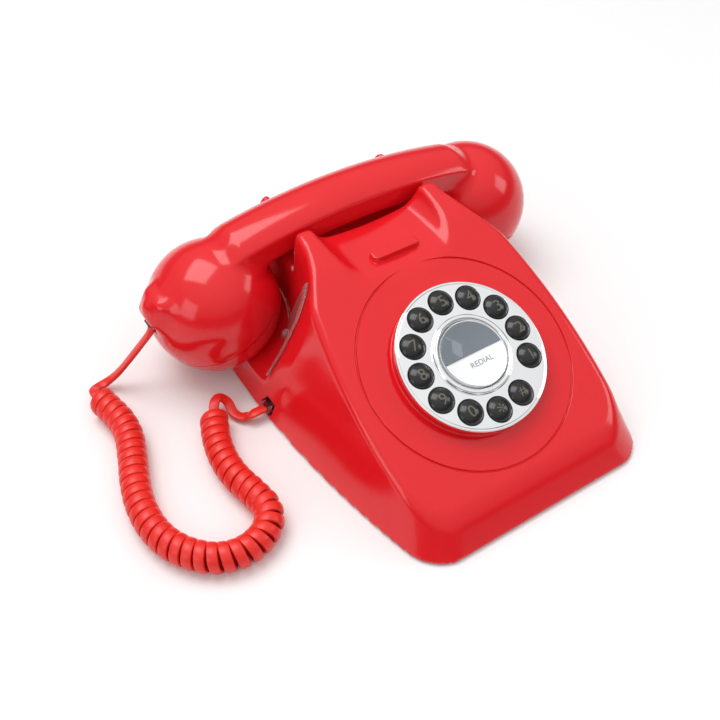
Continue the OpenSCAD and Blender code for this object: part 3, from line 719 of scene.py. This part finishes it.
# %% Plate and ring
KEY_R, KEY_GAP, KEY_PROUD, KEY_DOME = 6.1, 0.35, 2.6, 2.4
RING_IN, RING_W = 17.75, 3.0
PLATE_TOP = BOSS_H + PLATE_T
KEYS = ["1", "2", "3", "4", "5", "6", "7", "8", "9", "0", "star", "hash"]
key_spots = {}
for key in KEYS:
    low, high = box_mm("key_" + key)
    middle = (low + high) / 2 - DIAL
    key_spots[key] = np.array([middle @ DIAL_X, middle @ DIAL_Y])
print("first button at", np.round(key_spots["1"], 2))

BEVEL, CHAMFER = 0.5, 0.15
LINE_OUT, LINE_MID, LINE_IN, LINE_DEEP = 1.1, 1.35, 1.6, 0.14  # a fine line pressed in beside the rim
plate_profile = [(RING_IN, BOSS_H), (PLATE_R - CHAMFER, BOSS_H), (PLATE_R, BOSS_H + CHAMFER)]
plate_profile += arc(PLATE_R - BEVEL, PLATE_TOP - BEVEL, BEVEL, 0, 90, 5)
plate_profile += [(PLATE_R - LINE_OUT, PLATE_TOP), (PLATE_R - LINE_MID, PLATE_TOP - LINE_DEEP),
                  (PLATE_R - LINE_IN, PLATE_TOP), (RING_IN + 0.6, PLATE_TOP), (RING_IN, PLATE_TOP)]
plate = turned("chrome_plate", plate_profile, 240, DIAL, *DIAL_AXES)


def on_dial(spot, height=0.0):
    """A point of the dial's face in the row frame, from its place (across, up) and its height in mm."""
    return DIAL + spot[0] * DIAL_X + spot[1] * DIAL_Y + height * DIAL_N


HOLE_R, HOLE_LIP = KEY_R + KEY_GAP, 0.3
HOLE_LOW, HOLE_HIGH = 3, 9
lip = [(0, HOLE_LOW), (HOLE_R, HOLE_LOW), (HOLE_R, PLATE_TOP - HOLE_LIP), (HOLE_R + HOLE_LIP, PLATE_TOP),
       (HOLE_R + HOLE_LIP, HOLE_HIGH), (0, HOLE_HIGH)]
for key in KEYS:
    carve(plate, solid_turned("hole", lip, 64, on_dial(key_spots[key]), *DIAL_AXES))
smooth(plate.data, 20)
print("plate:", len(plate.data.polygons), "faces")

# %% Ring round the redial button
RING_ROUND, RING_FOOT, RING_H = 1.4, 0.5, 2.0
ring_out = RING_IN + RING_W
ring_profile = [(RING_IN, PLATE_TOP), (ring_out, PLATE_TOP), (ring_out, PLATE_TOP + RING_FOOT)]
ring_profile += arc(ring_out - RING_ROUND, PLATE_TOP + 0.6, RING_ROUND, 0, 90, 8)
ring_profile += [(RING_IN + 1.1, PLATE_TOP + RING_H), (RING_IN + 0.5, PLATE_TOP + 1.75),
                 (RING_IN, PLATE_TOP + 1.1)]
ring = turned("chrome_ring", ring_profile, 240, DIAL, *DIAL_AXES, crease=40)
print("ring:", len(ring.data.polygons), "faces")

# %% Sizes of the buttons
FLANGE_Z, FLANGE_T = 3.2, 1.6
KEY_EDGE, KEY_FOOT = 0.35, (0.4, 0.3)
dome_r = (KEY_R**2 + KEY_DOME**2) / (2 * KEY_DOME)
key_top = PLATE_TOP + KEY_PROUD
dome_edge = math.degrees(math.asin((KEY_R - KEY_EDGE) / dome_r))


def dome_height(distance):
    """The height of a button's dome at a distance from its axis: a ball's cap."""
    return key_top - dome_r + np.sqrt(dome_r**2 - distance**2)


# %% Lettering
INK, LONGEST_EDGE = 0.03, 0.9


def printed(name, body, size, spot, height_of, proud=INK):
    """Lettering as a fine mesh of triangles laid on a surface, a thickness of ink proud of it.

    A point at (x, y) from the lettering's middle gets the height height_of(x, y) + proud.
    """
    curve = bpy.data.curves.new(name, "FONT")
    curve.body, curve.size, curve.align_x, curve.align_y = body, size, "CENTER", "CENTER"
    curve.resolution_u = 3
    text = bpy.data.objects.new(name, curve)
    bpy.context.scene.collection.objects.link(text)
    mesh = bpy.data.meshes.new_from_object(text.evaluated_get(bpy.context.evaluated_depsgraph_get()))
    bpy.data.objects.remove(text)
    work = bmesh.new()
    work.from_mesh(mesh)
    bmesh.ops.triangulate(work, faces=work.faces)
    for _ in range(2):
        long_edges = [e for e in work.edges if e.calc_length() > LONGEST_EDGE]
        bmesh.ops.subdivide_edges(work, edges=long_edges, cuts=1)
        bmesh.ops.triangulate(work, faces=work.faces)
    work.to_mesh(mesh)
    work.free()
    place = np.zeros(len(mesh.vertices) * 3)
    mesh.vertices.foreach_get("co", place)
    place = place.reshape(-1, 3)
    place[:, :2] -= (place[:, :2].max(0) + place[:, :2].min(0)) / 2
    height = height_of(place[:, 0], place[:, 1]) + proud
    points = (DIAL + (spot[0] + place[:, :1]) * DIAL_X + (spot[1] + place[:, 1:2]) * DIAL_Y
              + height[:, None] * DIAL_N)
    mesh.vertices.foreach_set("co", (points * MM).ravel())
    mesh.update()
    return mesh


# %% Buttons and their marks
key_profile = [(0, FLANGE_Z), (KEY_R - KEY_FOOT[0], FLANGE_Z), (KEY_R, FLANGE_Z + KEY_FOOT[1]),
               (KEY_R, key_top - KEY_DOME - KEY_EDGE), (KEY_R - 0.08, key_top - KEY_DOME)]
key_profile += arc(0, key_top - dome_r, dome_r, 90 - dome_edge, 90, 12)
SIGNS = {"star": "*", "hash": "#"}
SIGN_SIZES, DIGIT_SIZE = {"star": 10.5, "hash": 6.4}, 8.2
buttons, marks = {}, {}
for key in KEYS:
    buttons[key] = solid_turned("button_" + key, key_profile, 48, on_dial(key_spots[key]), *DIAL_AXES)
for key in KEYS:
    marks[key] = printed("mark_" + key, SIGNS.get(key, key), SIGN_SIZES.get(key, DIGIT_SIZE),
                         key_spots[key], lambda x, y: dome_height(np.hypot(x, y)))
print("buttons:", len(buttons))

# %% Redial button and label
REDIAL_R, FLANGE_OUT = 17.0, 1.2
redial_low_z = PLATE_TOP + 1.6
flange_r, flange_top = REDIAL_R + FLANGE_OUT, FLANGE_Z + FLANGE_T
redial_profile = [(0, FLANGE_Z), (flange_r, FLANGE_Z), (flange_r, flange_top), (REDIAL_R, flange_top),
                  (REDIAL_R, redial_low_z), (0, redial_low_z)]
redial = solid_turned("redial", redial_profile, 160, DIAL, *DIAL_AXES)
half = np.radians(np.linspace(0, 180, 61))
LABEL_R, LABEL_T = REDIAL_R - 0.6, 0.3
outline = np.stack([LABEL_R * np.cos(half), LABEL_R * np.sin(half)], 1)
label_points = np.vstack([[on_dial(p, h) for p in outline] for h in (redial_low_z, redial_low_z + LABEL_T)])
n = len(outline)
k = np.arange(n)
label_sides = np.stack([k, (k + 1) % n, n + (k + 1) % n, n + k], 1)
label = put_mesh("redial_label_half", label_points, label_sides, np.arange(n)[::-1], n + np.arange(n))
WORD_SIZE, WORD_SPOT, WORD_INK = 4.0, (1.6, -5.2), 0.06
word = printed("redial_word", "REDIAL", WORD_SIZE, WORD_SPOT, lambda x, y: np.full_like(x, redial_low_z),
               WORD_INK)
print("label:", len(label.data.polygons), "faces, word:", len(word.polygons), "triangles")

# %% Lens
# The lens throws no shadow, so the lamps light the label under it, as they do through thin clear plastic.
LENS_TOP, LENS_R, LENS_EDGE = PLATE_TOP + 2.8, 190.0, 0.5
lens_low = redial_low_z + LABEL_T
lens_profile = [(0, lens_low + 0.02), (REDIAL_R - 0.3, lens_low + 0.02), (REDIAL_R, lens_low + 0.2),
                (REDIAL_R, LENS_TOP - 0.75)]
lens_profile += arc(REDIAL_R - LENS_EDGE, LENS_TOP - 0.85, LENS_EDGE, 0, 60, 4)
lens_profile += [(r, LENS_TOP - r * r / (2 * LENS_R)) for r in (15.5, 12, 8, 4)] + [(0, LENS_TOP)]
lens = solid_turned("redial_window", lens_profile, 160, DIAL, *DIAL_AXES, crease=50)
lens.visible_shadow = False
print("lens:", len(lens.data.polygons), "faces")
# %% [markdown]
# ## The clear plungers and plugs
# A curved clear wall stands in each scoop. The cup presses it down, and it rises with a spring when the
# handset is lifted. Its outer end is rolled over like a hairpin, which stiffens it. The plugs at the ends
# of the cord are clear too, each with four gilt contacts.

# %% Plungers
PLUNGER_WALL, PLUNGER_GAP, INSET, LINER_START, LINER_SWEEP = 1.6, 0.4, 0.2, 30.0, 53.0
LINER_IN = 1  # how far the plunger's axis lies inside the scoop's own
LINER_R = SCOOP_R - PLUNGER_GAP - PLUNGER_WALL / 2
LINER_FROM, LINER_TO = math.radians(LINER_START), math.radians(LINER_START + LINER_SWEEP)
PEG_R, PEG_TURN, PEG_LEN, PEG_UP = 2.0, math.radians(40), 8.2, 5
HAIRPIN_R, HAIRPIN_HALF = 2.1, 0.5
WALL_EDGE, FOOT_GAP, FOOT_ROUND, TOP_EDGE = 0.6, 0.4, 0.3, 0.5
PLUNGER_STEP = 0.62


def plunger_wall(x, y, z, u, v):
    """A wall of even thickness from the shelf to the case's top, over a span of angles; its end is rolled."""
    wall = np.abs(np.hypot(u, v) - LINER_R) - PLUNGER_WALL / 2
    off_middle = np.abs(np.arctan2(-v, -u) - (LINER_FROM + LINER_TO) / 2)
    wall = both(wall, (off_middle - (LINER_TO - LINER_FROM) / 2) * LINER_R, WALL_EDGE)
    pin = LINER_R + PLUNGER_WALL / 2 - HAIRPIN_R
    roll = np.hypot(u + pin * math.cos(LINER_TO), v + pin * math.sin(LINER_TO)) - HAIRPIN_R + HAIRPIN_HALF
    wall = either(wall, np.abs(roll) - HAIRPIN_HALF, FOOT_ROUND)
    foot = SHELF_GAP - FOOT_GAP + CUP_FACE + cup_heights(x, z)
    return both(wall, both(wedge(x, y, z) + INSET, -foot, FOOT_ROUND), TOP_EDGE)


def plunger_field(x, y, z):
    """The plunger: its wall, and a round peg that goes down through the shelf along the scoop's axis."""
    u = np.abs(x) - BLOCK_HALF - SCOOP_R + LINER_IN
    v = (y - SCOOP_Y) * math.cos(TILT) + (z - SCOOP_Z) * math.sin(TILT)
    along = (z - SCOOP_Z) * math.cos(TILT) - (y - SCOOP_Y) * math.sin(TILT)
    pitch = LINER_R + PLUNGER_WALL / 2 - PEG_R
    peg = np.hypot(u + pitch * math.cos(PEG_TURN), v + pitch * math.sin(PEG_TURN)) - PEG_R
    peg_x = BLOCK_HALF + SCOOP_R - LINER_IN - pitch * math.cos(PEG_TURN)
    shelf_z = CUP_Z - (CUP_FACE + SHELF_GAP + (peg_x - CUP_X) * math.sin(CUP_TILT)) / math.cos(CUP_TILT)
    base = (shelf_z - SCOOP_Z + pitch * math.sin(PEG_TURN) * math.sin(TILT)) / math.cos(TILT)
    peg = np.maximum(peg, np.maximum(base - PEG_LEN - along, along - base - PEG_UP))
    return np.minimum(plunger_wall(x, y, z, u, v), peg)


plungers = {}
for name in ("left", "right"):
    low, high = box_mm("plunger_" + name)
    surface = net(plunger_field, low - 2, high + 2, PLUNGER_STEP)
    plungers[name] = put_mesh("clear_plunger_" + name, *surface, crease=50)
    print(name, "plunger:", len(plungers[name].data.polygons), "quads")

# %% Plugs
PLUG_CORNER, PLUG_END, PLUG_STEP = 0.6, 0.5, 0.35
STRIP_GAP, STRIP_IN, STRIP_CORNER = 0.3, 3, 0.4
PIN_PITCH, PIN_FIRST, PIN_SIZE = 1.27, -2.55, [0.6, 0.9, 4.5]


def plug_field(lx, ly, lz, length, wide, deep):
    """A clear plug: a rounded block, with a hollow for the strip in the end away from the socket."""
    body = both(np.abs(lx) - wide / 2, np.abs(ly) - deep / 2, PLUG_CORNER)
    body = both(body, np.abs(lz) - length / 2, PLUG_END)
    mouth = both(np.abs(lx) - FLAT_W / 2 - STRIP_GAP, np.abs(ly) - FLAT_T / 2 - STRIP_GAP, STRIP_CORNER)
    mouth = both(mouth, lz + length / 2 - STRIP_IN, STRIP_GAP)
    return without(body, mouth, STRIP_GAP)


def plug(name, middle, ex, ey, ez, length, wide, deep):
    """A plug on axes ex along its width, ey its depth and ez into the socket, with its four contacts."""
    reach = np.array([wide, deep, length]) / 2 + 1
    points, quads = net(lambda x, y, z: plug_field(x, y, z, length, wide, deep), -reach, reach, PLUG_STEP)
    axes = np.stack([ex, ey, ez])
    shell = put_mesh(name, middle + points @ axes, quads, crease=50)
    pins = []
    for k in range(4):
        low = np.array([PIN_FIRST + PIN_PITCH * k + 0.2, deep / 2 - 1.2, length / 2 - 5.5])
        pins.append(block("pin", low, low + PIN_SIZE, axes.T, middle))
    return shell, pins


spout_axes = (np.array([0.0, -1.0, 0.0]), SPOUT_X, SPOUT_N)
HAND_PLUG, BASE_PLUG = (12.0, 6.4, 7.6), (11.7, 7.6, 6.2)  # length, width, depth
hand_plug, hand_pins = plug("clear_plug_handset", SPOUT, *spout_axes, *HAND_PLUG)
base_axes = (np.array([0.0, 1.0, 0.0]), np.array([0.0, 0.0, 1.0]), np.array([1.0, 0.0, 0.0]))
base_plug, base_pins = plug("clear_plug_base", (plug_low + plug_high) / 2, *base_axes, *BASE_PLUG)
print("plugs:", len(hand_plug.data.polygons), "and", len(base_plug.data.polygons), "quads")
# %% [markdown]
# ## Finishes
# Every finish is one shader, varied by noise read from the object's own coordinates, so it stays on the
# surface. A fine noise bends the gloss a little, as a moulded surface does, and a broad one changes the
# roughness from place to place, as handling does.

# %% Finish helper
BROAD_SCALE, BROAD_DETAIL, WAVE_DETAIL = 45, 4, 2


def finish(name, colour, rough, spread=0.04, tint=0.06, peel=0.0, peel_size=2.5, **sockets):
    """A shader whose colour and roughness vary with noise, by a share tint and an amount spread.

    peel is the depth and peel_size the width, both in mm, of the waves that bend the gloss.
    """
    material = bpy.data.materials.new(name)
    material.use_nodes = True
    tree = material.node_tree
    shader = tree.nodes["Principled BSDF"]
    place = tree.nodes.new("ShaderNodeTexCoord")
    broad = tree.nodes.new("ShaderNodeTexNoise")
    broad.inputs["Scale"].default_value = BROAD_SCALE
    broad.inputs["Detail"].default_value = BROAD_DETAIL
    tree.links.new(place.outputs["Object"], broad.inputs["Vector"])
    shade = tree.nodes.new("ShaderNodeMix")
    shade.data_type = "RGBA"
    shade.inputs["A"].default_value = (*[c * (1 - tint) for c in colour], 1)
    shade.inputs["B"].default_value = (*[min(1, c * (1 + tint)) for c in colour], 1)
    tree.links.new(broad.outputs["Fac"], shade.inputs["Factor"])
    tree.links.new(shade.outputs["Result"], shader.inputs["Base Color"])
    wear = tree.nodes.new("ShaderNodeMapRange")
    wear.inputs["To Min"].default_value = max(0.0, rough - spread)
    wear.inputs["To Max"].default_value = rough + spread
    tree.links.new(broad.outputs["Fac"], wear.inputs["Value"])
    tree.links.new(wear.outputs["Result"], shader.inputs["Roughness"])
    if peel:
        waves = tree.nodes.new("ShaderNodeTexNoise")
        waves.inputs["Scale"].default_value = 1000 / peel_size
        waves.inputs["Detail"].default_value = WAVE_DETAIL
        tree.links.new(place.outputs["Object"], waves.inputs["Vector"])
        bump = tree.nodes.new("ShaderNodeBump")
        bump.inputs["Distance"].default_value = peel * MM
        tree.links.new(waves.outputs["Fac"], bump.inputs["Height"])
        tree.links.new(bump.outputs["Normal"], shader.inputs["Normal"])
    for socket, value in sockets.items():
        shader.inputs[socket.replace("_", " ")].default_value = value
    return material


# %% The telephone's finishes
RED = (0.74, 0.008, 0.014)
finishes = {
    "red_gloss": finish("red_gloss", RED, 0.14, 0.03, 0.03, peel=0.012, peel_size=9),
    "red_cord": finish("red_cord", (0.78, 0.02, 0.012), 0.36, 0.08, 0.06, peel=0.03, peel_size=0.8),
    "chrome": finish("chrome", (0.93, 0.94, 0.95), 0.05, 0.02, 0.01, peel=0.004, peel_size=12, Metallic=1.0),
    "black_gloss": finish("black_gloss", (0.012, 0.0115, 0.0115), 0.18, 0.05, 0.2, peel=0.01, peel_size=2),
    "key_mark": finish("key_mark", (0.13, 0.117, 0.085), 0.35, 0.08, 0.15),
    "black_plastic": finish("black_plastic", (0.02, 0.02, 0.022), 0.45, 0.08, 0.2, peel=0.03, peel_size=0.6),
    "grey_plastic": finish("grey_plastic", (0.05, 0.05, 0.055), 0.5, 0.08, 0.15, peel=0.04, peel_size=0.7),
    "clear_plastic": finish("clear_plastic", (0.98, 0.985, 0.99), 0.05, 0.03, 0.01, peel=0.01, peel_size=4,
                            Transmission_Weight=1.0, IOR=1.46),
    "milky_plastic": finish("milky_plastic", (0.95, 0.955, 0.96), 0.1, 0.04, 0.01, peel=0.01, peel_size=4,
                            Transmission_Weight=0.9, IOR=1.46),
    "white_plastic": finish("white_plastic", (0.86, 0.86, 0.86), 0.3, 0.05, 0.02, peel=0.01, peel_size=1.5),
    "ivory_plastic": finish("ivory_plastic", (0.78, 0.72, 0.55), 0.4, 0.06, 0.06, peel=0.02, peel_size=1),
    "grey_label": finish("grey_label", (0.125, 0.15, 0.175), 0.35, 0.05, 0.06, peel=0.005, peel_size=0.5),
    "label_ink": finish("label_ink", (0.12, 0.125, 0.14), 0.4, 0.05, 0.1),
    "rubber": finish("rubber", (0.02, 0.02, 0.02), 0.8, 0.08, 0.2, peel=0.06, peel_size=0.5),
    "silicone": finish("silicone", (0.42, 0.42, 0.42), 0.6, 0.08, 0.06, peel=0.03, peel_size=1),
    "steel": finish("steel", (0.58, 0.58, 0.6), 0.32, 0.08, 0.06, peel=0.01, peel_size=0.4, Metallic=1.0),
    "circuit_board": finish("circuit_board", (0.02, 0.15, 0.05), 0.38, 0.08, 0.2, peel=0.03, peel_size=1.2),
    "gilt": finish("gilt", (0.9, 0.62, 0.2), 0.22, 0.05, 0.05, Metallic=1.0),
}
print("finishes:", len(finishes))

# %% [markdown]
# ## The pieces on their bodies
# Every new piece but the cord rides on the body of the node that it stands for, so it moves as that node does. The
# nodes inside the telephone keep their own shapes and only get their finish. The cord reaches from the base to the
# handset; it is fixed to no body and stays as it lies.

# %% Helpers that fit and join
def fit(piece, body, finish_name, replaced=()):
    """Gives a piece its finish, its body and the nodes that it stands for."""
    piece.data.materials.clear()
    piece.data.materials.append(finishes[finish_name])
    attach(piece, body)
    if replaced:
        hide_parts(*replaced)


def joined(name, *pieces):
    """Joins pieces into the first one, which gets the name."""
    with bpy.context.temp_override(active_object=pieces[0], selected_editable_objects=list(pieces)):
        bpy.ops.object.join()
    pieces[0].name = name
    return pieces[0]


def from_mesh(name, mesh):
    """An object for a mesh that has none yet, such as lettering."""
    piece = bpy.data.objects.new(name, mesh)
    bpy.context.scene.collection.objects.link(piece)
    return piece


# %% Fit the pieces
fit(joined("case", case, boss), "base", "red_gloss", ["case_shell"])
fit(handset, "handset", "red_gloss", ["handset_shell"])
for name, cap in caps_made.items():
    fit(cap, "handset", "red_gloss", [name])
fit(plate, "base", "chrome", ["dial_plate"])
fit(ring, "base", "chrome", ["centre_ring"])
for key in KEYS:
    fit(buttons[key], "button_" + key, "black_gloss", ["key_" + key])
    fit(from_mesh("mark_" + key, marks[key]), "button_" + key, "key_mark")
fit(redial, "redial", "white_plastic", ["redial_button"])
fit(label, "redial", "grey_label", ["redial_label"])
fit(lens, "redial", "clear_plastic", ["redial_lens"])
fit(from_mesh("redial_word", word), "redial", "label_ink")
for name in ("left", "right"):
    fit(plungers[name], name + "_plunger", "milky_plastic", ["plunger_" + name])
fit(hand_plug, "handset", "clear_plastic", ["handset_plug"])
fit(base_plug, "base", "clear_plastic", ["base_plug"])
hand_contacts = joined("handset_contacts", *hand_pins)
base_contacts = joined("base_contacts", *base_pins)
fit(hand_contacts, "handset", "gilt")
fit(base_contacts, "base", "gilt")
print("contacts:", len(hand_contacts.data.polygons), "faces a plug")

# %% The cord
cord.data.materials.append(finishes["red_cord"])
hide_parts("cord_tail_handset", "cord_coil", "cord_tail_base")
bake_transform(cord)

# %% Finish the nodes that stay
for part in frame["record"]["subparts"]:
    node = nodes[part["node"]]
    if node.hide_render:
        continue
    node.data.materials.clear()
    node.data.materials.append(finishes[part["material_slot"]])

# %% [markdown]
# ## Floor and light
# The telephone stands on a plain pale floor, lit as in a small studio. The surroundings run from grey at
# the horizon, through a darker band that gives the gloss its depth, to white overhead. One big soft light
# hangs above, and a smaller one on each side draws long highlights.

# %% Floor
FLOOR_HALF = 15000.0
floor_corners = FLOOR_HALF * np.array([[-1, -1, 0], [1, -1, 0], [1, 1, 0], [-1, 1, 0]])
floor = put_mesh("floor", floor_corners, [[0, 1, 2, 3]])
floor.data.materials.append(finish("floor_paper", (0.9, 0.9, 0.9), 0.7, 0.05, 0.005))
print("floor:", round(2 * FLOOR_HALF * MM), "m wide")


# %% Lights
def lamp(name, place, target, size, power):
    """A square soft light at a place in metres that faces a target."""
    data = bpy.data.lights.new(name, "AREA")
    data.size, data.energy = size, power
    light = bpy.data.objects.new(name, data)
    bpy.context.scene.collection.objects.link(light)
    light.location = place
    light.rotation_euler = (Vector(target) - Vector(place)).to_track_quat("-Z", "Y").to_euler()
    return light


LIT_PLACE = (0, 0, 0.03)
lamp("top_light", (-0.25, 0.45, 1.3), LIT_PLACE, 0.9, 9)
lamp("left_light", (-1.2, -0.3, 0.6), LIT_PLACE, 0.6, 2)
lamp("right_light", (1.1, -0.5, 0.7), LIT_PLACE, 0.5, 2)

# %% Surroundings
SKY_GREYS = ((0.0, 0.4), (0.12, 0.2), (0.25, 0.15), (0.42, 0.5), (0.75, 0.8), (1.0, 1.0))  # height, grey
world = bpy.data.worlds.new("studio")
bpy.context.scene.world = world
world.use_nodes = True
sky = world.node_tree
look = sky.nodes.new("ShaderNodeTexCoord")
split = sky.nodes.new("ShaderNodeSeparateXYZ")
ramp = sky.nodes.new("ShaderNodeValToRGB")
sky.links.new(look.outputs["Generated"], split.inputs["Vector"])
sky.links.new(split.outputs["Z"], ramp.inputs["Fac"])
sky.links.new(ramp.outputs["Color"], sky.nodes["Background"].inputs["Color"])
stops = ramp.color_ramp.elements  # a new ramp has one stop at 0 and one at 1, and keeps them in order
for height, _ in SKY_GREYS[1:-1]:
    stops.new(height)
for stop, (_, grey) in zip(stops, SKY_GREYS):
    stop.color = (grey, grey, grey, 1)
sky.nodes["Background"].inputs["Strength"].default_value = 1.0
bpy.context.scene.view_settings.view_transform = "Standard"
print("stops of the surroundings:", len(stops))
